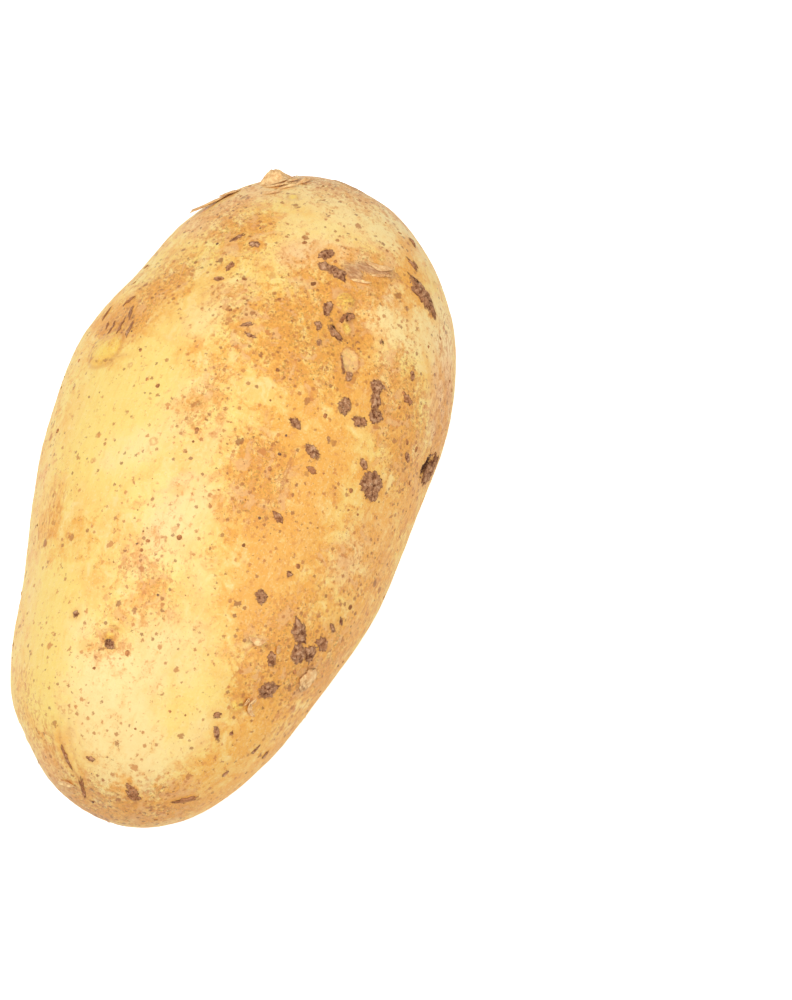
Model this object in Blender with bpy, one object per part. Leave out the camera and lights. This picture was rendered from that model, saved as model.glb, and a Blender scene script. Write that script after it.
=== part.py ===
"""A long oval potato tuber, lying on its side on the small flat that its own weight would find.

Units are metres and +Z is up. +X runs to the stem end, where the tuber hung on its stolon, and -X to the
bud end, where the eyes crowd together. The origin is on the table, under the middle of the tuber.

The tuber grew as one piece, so it is one solid. Its skin is a box of square cells blown out to a ball.
The ball is stretched to the half-sizes of nine stations along its length, then given swellings, hollows
and eyes, and last its underside is cut level.
"""

import math

import bmesh
import bpy
from mathutils import Vector, noise

MM = 0.001

LENGTH = 120 * MM
WIDTH = 64 * MM
THICKNESS = 55 * MM
FLAT_DEPTH = 0.7 * MM  # how much of the rounded underside the resting flat takes away

# Cells of the skin along, across and up: each is just under 3 mm on the finished tuber.
CELLS = (34, 18, 16)

# The tuber at stations from the bud end (-1) to the stem end (1). Left (+Y), right (-Y), top and under are
# shares of half the width and half the thickness, as the half-size of the oval that the station would
# lie on. Sway is how far the middle line stands to the left, as a share of half the width.
STATIONS = (
    # along, left, right, top, under, sway
    (-1.00, 1.12, 1.01, 1.12, 1.10, -0.055),
    (-0.80, 1.03, 1.00, 1.03, 1.03, -0.015),
    (-0.50, 0.94, 0.96, 0.97, 1.00, 0.000),
    (-0.25, 0.97, 0.96, 0.98, 0.99, 0.000),
    (0.00, 1.02, 0.97, 1.00, 1.00, 0.000),
    (0.25, 1.05, 1.02, 1.02, 1.00, 0.000),
    (0.50, 1.03, 1.09, 1.04, 1.01, 0.000),
    (0.75, 1.11, 1.12, 1.10, 1.06, 0.000),
    (1.00, 1.16, 1.00, 1.20, 1.14, 0.000),
)

# Broad swellings and hollows: where along, degrees round from the top towards the right side, reach and
# height. A hollow has a negative height.
SWELLINGS = {
    "left_shoulder": (0.30, -76, 11 * MM, 1.3 * MM),
    "left_waist": (-0.42, -62, 14 * MM, -0.8 * MM),
    "top_saddle": (0.12, 18, 15 * MM, -0.7 * MM),
    "bud_end_cheek": (-0.70, -22, 11 * MM, 0.7 * MM),
    "right_furrow": (0.36, 76, 7 * MM, -0.6 * MM),
    "right_flank": (-0.15, 96, 16 * MM, 0.7 * MM),
    "under_hollow": (-0.45, 150, 13 * MM, -0.9 * MM),
    "under_cheek": (0.55, -140, 13 * MM, 0.8 * MM),
    "stem_end_crown": (0.93, -80, 5.0 * MM, 0.6 * MM),
    "stolon_scar": (0.985, 30, 4.5 * MM, -1.0 * MM),
}

# The eyes: where along, degrees round as above, radius of the hollow and its depth. They wind round the
# tuber and come closer together towards the bud end.
EYES = {
    "eye_on_left_shoulder": (0.30, -56, 6.0 * MM, 1.1 * MM),
    "eye_near_stem_end": (0.44, 23, 6.5 * MM, 1.3 * MM),
    "eye_in_right_furrow": (0.25, 82, 5.0 * MM, 1.1 * MM),
    "eye_low_on_left": (-0.62, -9, 6.0 * MM, 0.9 * MM),
    "eye_low_on_right": (-0.62, 49, 6.0 * MM, 1.0 * MM),
    "eye_under_left": (-0.05, -128, 6.5 * MM, 1.3 * MM),
    "eye_under_right": (0.62, 150, 6.5 * MM, 1.2 * MM),
    "eye_under_bud_end": (-0.70, 128, 5.5 * MM, 1.2 * MM),
    "eye_beside_tip": (-0.86, -95, 5.0 * MM, 1.1 * MM),
    "eye_at_tip": (-0.985, -20, 4.5 * MM, 1.0 * MM),
}

# The brow is the leaf scar that stands over each eye on its stem side, as shares of the eye's radius and
# depth.
BROW_OFFSET = 0.95
BROW_BREADTH = 0.42
BROW_REACH = 1.05
BROW_HEIGHT = 0.55

# Slow unevenness of the skin, from one grain of noise.
UNEVEN_SPAN = 19 * MM
UNEVEN_HEIGHT = 0.45 * MM

SKIN_COLOUR = (0.86, 0.62, 0.24, 1.0)
SKIN_ROUGHNESS = 0.55


def clear_scene():
    for obj in list(bpy.data.objects):
        bpy.data.objects.remove(obj)


def station_at(along):
    """Left, right, top, under and sway at a place from -1 to 1, on a smooth curve through the stations."""
    last = len(STATIONS) - 1
    i = 0
    while i < last - 1 and along > STATIONS[i + 1][0]:
        i += 1
    before, low, high, after = (STATIONS[max(0, min(last, i + k))] for k in (-1, 0, 1, 2))
    span = high[0] - low[0]
    t = (along - low[0]) / span
    values = []
    for k in range(1, len(low)):
        slope_low = (high[k] - before[k]) / (high[0] - before[0]) * span
        slope_high = (after[k] - low[k]) / (after[0] - low[0]) * span
        values.append(
            (2 * t**3 - 3 * t**2 + 1) * low[k]
            + (t**3 - 2 * t**2 + t) * slope_low
            + (3 * t**2 - 2 * t**3) * high[k]
            + (t**3 - t**2) * slope_high
        )
    return values


def oval_point(direction):
    """The point of the plain stretched ball that lies in a unit direction."""
    left, right, top, under, sway = station_at(direction.x)
    side = left if direction.y > 0 else right
    height = top if direction.z > 0 else under
    return Vector((
        direction.x * LENGTH / 2,
        (direction.y * side + sway) * WIDTH / 2,
        direction.z * height * THICKNESS / 2,
    ))


def oval_normal(direction):
    """The outward normal of the stretched ball in that direction."""
    return Vector((
        direction.x / LENGTH,
        direction.y / WIDTH,
        direction.z / THICKNESS,
    )).normalized()


def direction_of(along, round_degrees):
    """The unit direction of a place given by its share of the length and its turn from the top."""
    ring = math.sqrt(1 - along**2)
    turn = math.radians(round_degrees)
    return Vector((along, -ring * math.sin(turn), ring * math.cos(turn)))


def bell(distance, reach):
    return math.exp(-((distance / reach) ** 2))


def swelling_height(point, swelling):
    along, turn, reach, height = swelling
    centre = oval_point(direction_of(along, turn))
    return height * bell((point - centre).length, reach)


def eye_height(point, eye):
    """The hollow of an eye, with its brow standing on the side of the stem end."""
    along, turn, radius, depth = eye
    facing = direction_of(along, turn)
    offset = point - oval_point(facing)
    if offset.length > 3 * radius:
        return 0.0
    outward = oval_normal(facing)
    # At the very tip the stem side is up, because there the length runs along the normal.
    heelward = Vector((1, 0, 0.25))
    heelward = (heelward - heelward.dot(outward) * outward).normalized()
    heel = offset.dot(heelward)
    aside = offset.dot(outward.cross(heelward))
    hollow = -depth * bell(offset.length, radius)
    arch = BROW_OFFSET * radius - 0.25 * aside**2 / radius
    brow = BROW_HEIGHT * depth * bell(heel - arch, BROW_BREADTH * radius)
    return hollow + brow * bell(aside, BROW_REACH * radius)


def skin_point(direction):
    """The finished skin in a unit direction, before the underside is levelled."""
    point = oval_point(direction)
    height = sum(swelling_height(point, s) for s in SWELLINGS.values())
    height += sum(eye_height(point, e) for e in EYES.values())
    height += UNEVEN_HEIGHT * noise.noise(point / UNEVEN_SPAN)
    return point + height * oval_normal(direction)


def cell_ball(bm):
    """A ball of even square cells: a box cut by planes and blown out to radius 1."""
    bmesh.ops.create_cube(bm, size=2)
    for axis, cells in enumerate(CELLS):
        plane = Vector((0, 0, 0))
        plane[axis] = 1
        for i in range(1, cells):
            # Equal angles and not equal steps, so that the cells are as large at the box's corners.
            place = plane * math.tan((2 * i / cells - 1) * math.pi / 4)
            everything = bm.verts[:] + bm.edges[:] + bm.faces[:]
            bmesh.ops.bisect_plane(bm, geom=everything, plane_co=place, plane_no=plane)
    for vert in bm.verts:
        vert.co = vert.co.normalized()


def level_underside(bm):
    """Cuts the lowest part of the skin level and sets it on the table, centred on the origin."""
    table = min(v.co.z for v in bm.verts) + FLAT_DEPTH
    for vert in bm.verts:
        vert.co.z = max(vert.co.z, table)
    middle = [
        (min(v.co[axis] for v in bm.verts) + max(v.co[axis] for v in bm.verts)) / 2
        for axis in (0, 1)
    ]
    for vert in bm.verts:
        vert.co -= Vector((middle[0], middle[1], table))


def skin_material():
    material = bpy.data.materials.new("potato_skin")
    material.use_nodes = True
    shader = material.node_tree.nodes["Principled BSDF"]
    shader.inputs["Base Color"].default_value = SKIN_COLOUR
    shader.inputs["Roughness"].default_value = SKIN_ROUGHNESS
    shader.inputs["Metallic"].default_value = 0.0
    return material


def make_tuber():
    bm = bmesh.new()
    cell_ball(bm)
    for vert in bm.verts:
        vert.co = skin_point(vert.co)
    level_underside(bm)
    bmesh.ops.recalc_face_normals(bm, faces=bm.faces)
    mesh = bpy.data.meshes.new("potato")
    bm.to_mesh(mesh)
    bm.free()
    mesh.shade_smooth()
    mesh.materials.append(skin_material())
    tuber = bpy.data.objects.new("potato", mesh)
    bpy.context.scene.collection.objects.link(tuber)
    return tuber


clear_scene()
make_tuber()
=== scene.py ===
# A long oval potato on its side: skin, eyes, pores, scabs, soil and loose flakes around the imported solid.
import math

import bmesh
import bpy
import numpy as np
from mathutils import Matrix, Vector, noise
from mathutils.bvhtree import BVHTree


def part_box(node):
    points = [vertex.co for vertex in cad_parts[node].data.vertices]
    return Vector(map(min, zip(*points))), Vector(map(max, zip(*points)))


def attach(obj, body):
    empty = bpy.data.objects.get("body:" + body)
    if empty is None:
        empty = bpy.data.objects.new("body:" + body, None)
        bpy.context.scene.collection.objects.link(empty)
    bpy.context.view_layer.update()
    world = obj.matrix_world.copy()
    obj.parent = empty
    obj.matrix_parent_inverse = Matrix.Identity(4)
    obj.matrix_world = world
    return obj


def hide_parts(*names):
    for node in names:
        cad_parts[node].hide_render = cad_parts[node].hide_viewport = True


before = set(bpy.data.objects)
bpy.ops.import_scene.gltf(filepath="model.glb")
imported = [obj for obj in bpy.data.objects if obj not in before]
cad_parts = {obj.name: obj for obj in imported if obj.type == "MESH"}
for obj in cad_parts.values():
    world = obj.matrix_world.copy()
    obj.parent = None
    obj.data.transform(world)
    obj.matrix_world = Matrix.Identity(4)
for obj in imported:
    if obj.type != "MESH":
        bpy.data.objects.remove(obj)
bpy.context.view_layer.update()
mm = 0.001
scene = bpy.context.scene
lowCorner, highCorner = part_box("potato")
middle = (lowCorner + highCorner) / 2
half = (highCorner - lowCorner) / 2
print("frame loaded, tuber", [round(2 * side / mm, 1) for side in half], "mm")


# node helpers
def plug(tree, value, socket):
    if isinstance(value, bpy.types.NodeSocket):
        tree.links.new(value, socket)
    else:
        socket.default_value = value


def addNode(tree, kind, values=None, **settings):
    node = tree.nodes.new(kind)
    count = len(tree.nodes)
    node.location = (count % 9 * 220, count // 9 * -340)
    for name, value in settings.items():
        setattr(node, name, value)
    for socket, value in (values or {}).items():
        plug(tree, value, node.inputs[socket])
    return node


def calc(tree, operation, first, second=0.5, third=0.5, clamp=False):
    node = addNode(tree, "ShaderNodeMath", {0: first, 1: second, 2: third}, operation=operation)
    node.use_clamp = clamp
    return node.outputs[0]


def times(tree, first, second):
    return calc(tree, "MULTIPLY", first, second)


def plus(tree, first, second):
    return calc(tree, "ADD", first, second)


def timesPlus(tree, value, factor, more, clamp=False):
    return calc(tree, "MULTIPLY_ADD", value, factor, more, clamp)


def vectorMath(tree, operation, first, second=None, scale=None):
    values = {0: first, 1: second, "Scale": scale}
    values = {socket: value for socket, value in values.items() if value is not None}
    return addNode(tree, "ShaderNodeVectorMath", values, operation=operation).outputs[0]


def ease(tree, value, start, end, low=0.0, high=1.0):  # a soft step between two values
    values = {"Value": value, "From Min": start, "From Max": end, "To Min": low, "To Max": high}
    return addNode(tree, "ShaderNodeMapRange", values, interpolation_type="SMOOTHSTEP").outputs["Result"]


def tint(tree, mask, under, over):
    return addNode(tree, "ShaderNodeMix", {0: mask, 6: under, 7: over}, data_type="RGBA").outputs[2]


def scaled(tree, vector, factors, shift=(0, 0, 0)):
    values = {0: vector, 1: factors, 2: shift}
    return addNode(tree, "ShaderNodeVectorMath", values, operation="MULTIPLY_ADD").outputs[0]


# noise with spots about size mm wide
def grain(tree, vector, size, detail=2.0, rough=0.55, shift=0.0, warp=0.0):
    moved = scaled(tree, vector, (1, 1, 1), (shift, shift * 0.7, -shift))
    values = {"Vector": moved, "Scale": 1 / size, "Detail": detail, "Roughness": rough, "Distortion": warp}
    return addNode(tree, "ShaderNodeTexNoise", values).outputs[0]


def shade(red, green, blue):  # screen colour to linear
    steps = [value / 255 for value in (red, green, blue)]
    return tuple(s / 12.92 if s <= 0.04045 else ((s + 0.055) / 1.055) ** 2.4 for s in steps) + (1.0,)


def newGroup(name, kind, takes, gives):
    tree = bpy.data.node_groups.new(name, kind)
    for label, socketType, value in takes:
        socket = tree.interface.new_socket(label, in_out="INPUT", socket_type=socketType)
        if value is not None:
            socket.default_value = value
    for label, socketType in gives:
        tree.interface.new_socket(label, in_out="OUTPUT", socket_type=socketType)
    given = tree.nodes.new("NodeGroupInput").outputs
    result = tree.nodes.new("NodeGroupOutput").inputs
    return tree, given, result


def newMaterial(name):
    material = bpy.data.materials.new(name)
    material.use_nodes = True
    tree = material.node_tree
    shader = tree.nodes["Principled BSDF"]
    inMm = scaled(tree, addNode(tree, "ShaderNodeTexCoord").outputs["Object"], (1000, 1000, 1000))
    return material, tree, shader, inMm


def attribute(tree, name):
    return addNode(tree, "ShaderNodeAttribute", attribute_name=name).outputs["Fac"]


def bump(tree, height, previous=None, strength=1.0):  # heights are in mm
    values = {"Height": height, "Strength": strength, "Distance": mm}
    node = addNode(tree, "ShaderNodeBump", values)
    if previous is not None:
        tree.links.new(previous, node.inputs["Normal"])
    return node.outputs["Normal"]


def makePlain(obj):  # the evaluated shape as a plain mesh, with no modifiers left
    mesh = bpy.data.meshes.new_from_object(obj.evaluated_get(bpy.context.evaluated_depsgraph_get()))
    obj.modifiers.clear()
    obj.data = mesh


def runTree(obj, tree, values):
    modifier = obj.modifiers.new("shape", "NODES")
    modifier.node_group = tree
    for item in tree.interface.items_tree:
        if item.item_type == "SOCKET" and item.in_out == "INPUT" and item.name in values:
            modifier[item.identifier] = values[item.name]
    obj.update_tag()
    makePlain(obj)


def newMesh(name, build):
    mesh = bpy.data.meshes.new(name)
    build.to_mesh(mesh)
    build.free()
    return mesh


def newObject(name, mesh):
    obj = bpy.data.objects.new(name, mesh)
    scene.collection.objects.link(obj)
    return obj


# shader groups that several finishes share
def speckleGroup():
    takes = [("Vector", "NodeSocketVector", None), ("Cell", "NodeSocketFloat", 1.0),
             ("Share", "NodeSocketFloat", 0.5), ("Radius", "NodeSocketFloat", 0.3),
             ("Ragged", "NodeSocketFloat", 0.4), ("Shift", "NodeSocketFloat", 0.0)]
    gives = [("Mask", "NodeSocketFloat"), ("Tone", "NodeSocketFloat"), ("Rim", "NodeSocketFloat")]
    tree, given, result = newGroup("speckle", "ShaderNodeTree", takes, gives)
    scale = calc(tree, "DIVIDE", 1.0, given["Cell"])
    place = vectorMath(tree, "SCALE", given["Vector"], scale=scale)
    place = vectorMath(tree, "ADD", place, given["Shift"])
    wobble = addNode(tree, "ShaderNodeTexNoise", {"Vector": place, "Scale": 4.5, "Detail": 2.0})
    offset = vectorMath(tree, "SUBTRACT", wobble.outputs["Color"], (0.5, 0.5, 0.5))
    offset = vectorMath(tree, "SCALE", offset, scale=given["Ragged"])
    place = vectorMath(tree, "ADD", place, offset)
    cells = addNode(tree, "ShaderNodeTexVoronoi", {"Vector": place, "Scale": 1.0, "Randomness": 1.0})
    parts = addNode(tree, "ShaderNodeSeparateColor", {0: cells.outputs["Color"]}).outputs
    bar = calc(tree, "SUBTRACT", 1.0, given["Share"])
    size = calc(tree, "DIVIDE", calc(tree, "SUBTRACT", parts[0], bar), given["Share"], clamp=True)
    size = times(tree, calc(tree, "POWER", size, 0.7), given["Radius"])
    near = calc(tree, "SUBTRACT", size, cells.outputs["Distance"])
    mask = ease(tree, near, -0.01, 0.07)
    tree.links.new(mask, result["Mask"])
    tree.links.new(parts[1], result["Tone"])
    centre = calc(tree, "DIVIDE", cells.outputs["Distance"], plus(tree, size, 0.001))
    centre = ease(tree, centre, 0.1, 0.7)
    tree.links.new(times(tree, mask, centre), result["Rim"])
    return tree


def roughGroup():  # a grainy surface: value changes for colour, and a height in mm for bump
    takes = [("Vector", "NodeSocketVector", None), ("Size", "NodeSocketFloat", 0.4)]
    gives = [("Value", "NodeSocketFloat"), ("Height", "NodeSocketFloat")]
    tree, given, result = newGroup("roughCrust", "ShaderNodeTree", takes, gives)
    scale = calc(tree, "DIVIDE", 1.0, given["Size"])
    values = {"Vector": given["Vector"], "Scale": scale, "Detail": 3.0, "Roughness": 0.65}
    lump = ease(tree, addNode(tree, "ShaderNodeTexNoise", values).outputs[0], 0.3, 0.7)
    crack = addNode(tree, "ShaderNodeTexVoronoi", {"Vector": given["Vector"], "Scale": scale},
                    feature="DISTANCE_TO_EDGE").outputs["Distance"]
    value = times(tree, lump, timesPlus(tree, ease(tree, crack, 0.0, 0.12), 0.5, 0.5))
    tree.links.new(value, result["Value"])
    tree.links.new(times(tree, value, 0.16), result["Height"])
    return tree


speckles = speckleGroup()
crust = roughGroup()


def useGroup(tree, group, **values):
    return addNode(tree, "ShaderNodeGroup", values, node_tree=group).outputs


# camera, floor and light
view = {"azimuth": -69.9, "elevation": 70.0, "distance": 0.4722, "aim": (0.0086, -0.0282, 0.0264),
        "lens": 100}


def viewAxes():
    turn, rise = math.radians(view["azimuth"]), math.radians(view["elevation"])
    back = Vector((math.sin(turn) * math.cos(rise), -math.cos(turn) * math.cos(rise), math.sin(rise)))
    right = Vector((math.cos(turn), math.sin(turn), 0))
    return right, back.cross(right), back


def makeCamera():
    right, up, back = viewAxes()
    data = bpy.data.cameras.new("camera")
    data.lens = view["lens"]
    data.sensor_width = 36
    data.clip_start = 0.01
    camera = newObject("camera", data)
    place = Vector(view["aim"]) + back * view["distance"]
    camera.matrix_world = Matrix.Translation(place) @ Matrix((right, up, back)).transposed().to_4x4()
    scene.camera = camera


studio = {  # each lamp: right, up and back from the tuber in metres as the camera sees it, size, watts
    "lamps": {"key": ((-0.36, 0.30, 0.66), 0.5, 3.9), "fill": ((0.50, -0.05, 0.62), 0.6, 2.6)},
    "skyStrength": 0.5,
    "floorColour": (0.93, 0.93, 0.925, 1), "floorCloud": (0.95, 0.95, 0.945, 1),
    "floorRadius": 3.0, "floorDrop": 0.0001,  # metres
    "floorGlow": 0.53,  # only what the camera sees, so that the floor stays pale
}


def makeStudio():
    right, up, back = viewAxes()
    for name, (place, size, power) in studio["lamps"].items():
        data = bpy.data.lights.new(name, "AREA")
        data.shape = "DISK"
        data.size = size
        data.energy = power
        lamp = newObject(name, data)
        away = right * place[0] + up * place[1] + back * place[2]
        lamp.location = middle + away
        lamp.rotation_euler = away.to_track_quat("Z", "Y").to_euler()
    world = bpy.data.worlds.new("studio")
    world.use_nodes = True
    scene.world = world
    tree = world.node_tree
    glow = tree.nodes["Background"]
    seen = addNode(tree, "ShaderNodeLightPath").outputs["Is Camera Ray"]
    values = {"Value": seen, "To Min": studio["skyStrength"], "To Max": 1.0}
    strength = addNode(tree, "ShaderNodeMapRange", values)
    tree.links.new(strength.outputs[0], glow.inputs["Strength"])
    glow.inputs["Color"].default_value = (1, 1, 1, 1)

    build = bmesh.new()
    bmesh.ops.create_circle(build, cap_ends=True, segments=96, radius=studio["floorRadius"])
    mesh = newMesh("floor", build)
    floor = newObject("floor", mesh)
    floor.location.z = -studio["floorDrop"]
    material, tree, shader, inMm = newMaterial("paleFloor")
    cloud = grain(tree, inMm, 60.0, 2.0)
    colour = tint(tree, cloud, studio["floorColour"], studio["floorCloud"])
    tree.links.new(colour, shader.inputs["Base Color"])
    shader.inputs["Roughness"].default_value = 0.85
    shader.inputs["Specular IOR Level"].default_value = 0.1
    shader.inputs["Emission Color"].default_value = (1, 1, 1, 1)
    seen = addNode(tree, "ShaderNodeLightPath").outputs["Is Camera Ray"]
    tree.links.new(times(tree, seen, studio["floorGlow"]), shader.inputs["Emission Strength"])
    mesh.materials.append(material)
    scene.view_settings.view_transform = "Standard"


makeCamera()
makeStudio()
print("camera and studio ready")


# the tuber's shape
def smoothTuber():
    build = bmesh.new()
    build.from_mesh(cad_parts["potato"].data)
    bmesh.ops.remove_doubles(build, verts=build.verts, dist=0.00001)
    bmesh.ops.join_triangles(build, faces=build.faces, angle_face_threshold=math.radians(40),
                             angle_shape_threshold=math.radians(50))
    obj = newObject("tuberSkin", newMesh("smoothTuber", build))
    rounder = obj.modifiers.new("rounder", "SUBSURF")
    rounder.levels = rounder.render_levels = 2
    makePlain(obj)
    return obj


skinShape = {
    "Cells Along": 198, "Cells Across": 106, "Cells Up": 94,
    "Swell Size": 7.0, "Swell Height": 0.16,  # mm, slow unevenness
    "Pucker Size": 2.1, "Pucker Height": 0.07,  # mm, small puckers
    "Crease Length": 9.0, "Crease Width": 1.3, "Crease Height": 0.05,  # mm, fine creases that run to the stem
}


def wrapTree():
    takes = [("Geometry", "NodeSocketGeometry", None), ("Middle", "NodeSocketVector", None),
             ("Half Size", "NodeSocketVector", None)]
    takes += [(name, "NodeSocketInt" if "Cells" in name else "NodeSocketFloat", value)
              for name, value in skinShape.items()]
    gives = [("Geometry", "NodeSocketGeometry")]
    tree, given, result = newGroup("wrapSkin", "GeometryNodeTree", takes, gives)
    counts = {f"Vertices {axis}": plus(tree, given[name], 1.0)
              for axis, name in (("X", "Cells Along"), ("Y", "Cells Across"), ("Z", "Cells Up"))}
    box = addNode(tree, "GeometryNodeMeshCube", {"Size": (2, 2, 2), **counts}).outputs["Mesh"]
    place = addNode(tree, "GeometryNodeInputPosition").outputs[0]
    # equal angles make even cells on the ball
    even = vectorMath(tree, "TANGENT", vectorMath(tree, "SCALE", place, scale=math.pi / 4))
    ball = vectorMath(tree, "NORMALIZE", even)
    ray = vectorMath(tree, "MULTIPLY", ball, given["Half Size"])
    values = {"Target Geometry": given["Geometry"], "Ray Direction": ray, "Source Position": given["Middle"],
              "Ray Length": 1.0}
    hit = addNode(tree, "GeometryNodeRaycast", values).outputs["Hit Position"]
    wrapped = addNode(tree, "GeometryNodeSetPosition", {"Geometry": box, "Position": hit})
    # unevenness, puckers and creases, all along the surface normal
    where = vectorMath(tree, "SCALE", addNode(tree, "GeometryNodeInputPosition").outputs[0], scale=1 / mm)
    height = 0.0
    layers = (("Swell Size", "Swell Size", "Swell Height"), ("Pucker Size", "Pucker Size", "Pucker Height"),
              ("Crease Length", "Crease Width", "Crease Height"))
    for number, (lengthName, widthName, heightName) in enumerate(layers):
        spans = {0: given[lengthName], 1: given[widthName], 2: given[widthName]}
        cell = vectorMath(tree, "DIVIDE", where, addNode(tree, "ShaderNodeCombineXYZ", spans).outputs[0])
        cell = vectorMath(tree, "ADD", cell, (7.3 * number, 2.1, 4.7))
        value = addNode(tree, "ShaderNodeTexNoise", {"Vector": cell, "Scale": 1.0, "Detail": 2.0}).outputs[0]
        layer = times(tree, calc(tree, "SUBTRACT", value, 0.5), given[heightName])
        height = plus(tree, height, layer)
    outward = addNode(tree, "GeometryNodeInputNormal").outputs[0]
    offset = vectorMath(tree, "SCALE", outward, scale=times(tree, height, 2 * mm))
    rippled = addNode(tree, "GeometryNodeSetPosition", {"Geometry": wrapped.outputs[0], "Offset": offset})
    smooth = addNode(tree, "GeometryNodeSetShadeSmooth", {"Geometry": rippled.outputs[0]})
    tree.links.new(smooth.outputs[0], result["Geometry"])
    return tree


skin = smoothTuber()
target = BVHTree.FromObject(skin, bpy.context.evaluated_depsgraph_get())


# the place, outward normal, long axis and cross axis of a mark
def spot(along, turn, slant=0.0):
    start = Vector((middle.x + along * half.x, middle.y, middle.z))
    angle = math.radians(turn)
    ray = Vector((0, -half.y * math.sin(angle), half.z * math.cos(angle))).normalized()
    place, outward = target.ray_cast(start, ray)[:2]
    stemward = (Vector((1, 0, 0)) - outward * outward.x).normalized()
    across = outward.cross(stemward)
    angle = math.radians(slant)
    main = stemward * math.cos(angle) + across * math.sin(angle)
    return place, outward, main, outward.cross(main)


runTree(skin, wrapTree(), {"Middle": middle, "Half Size": half, **skinShape})
print("skin wrapped,", len(skin.data.polygons), "faces")

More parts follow.
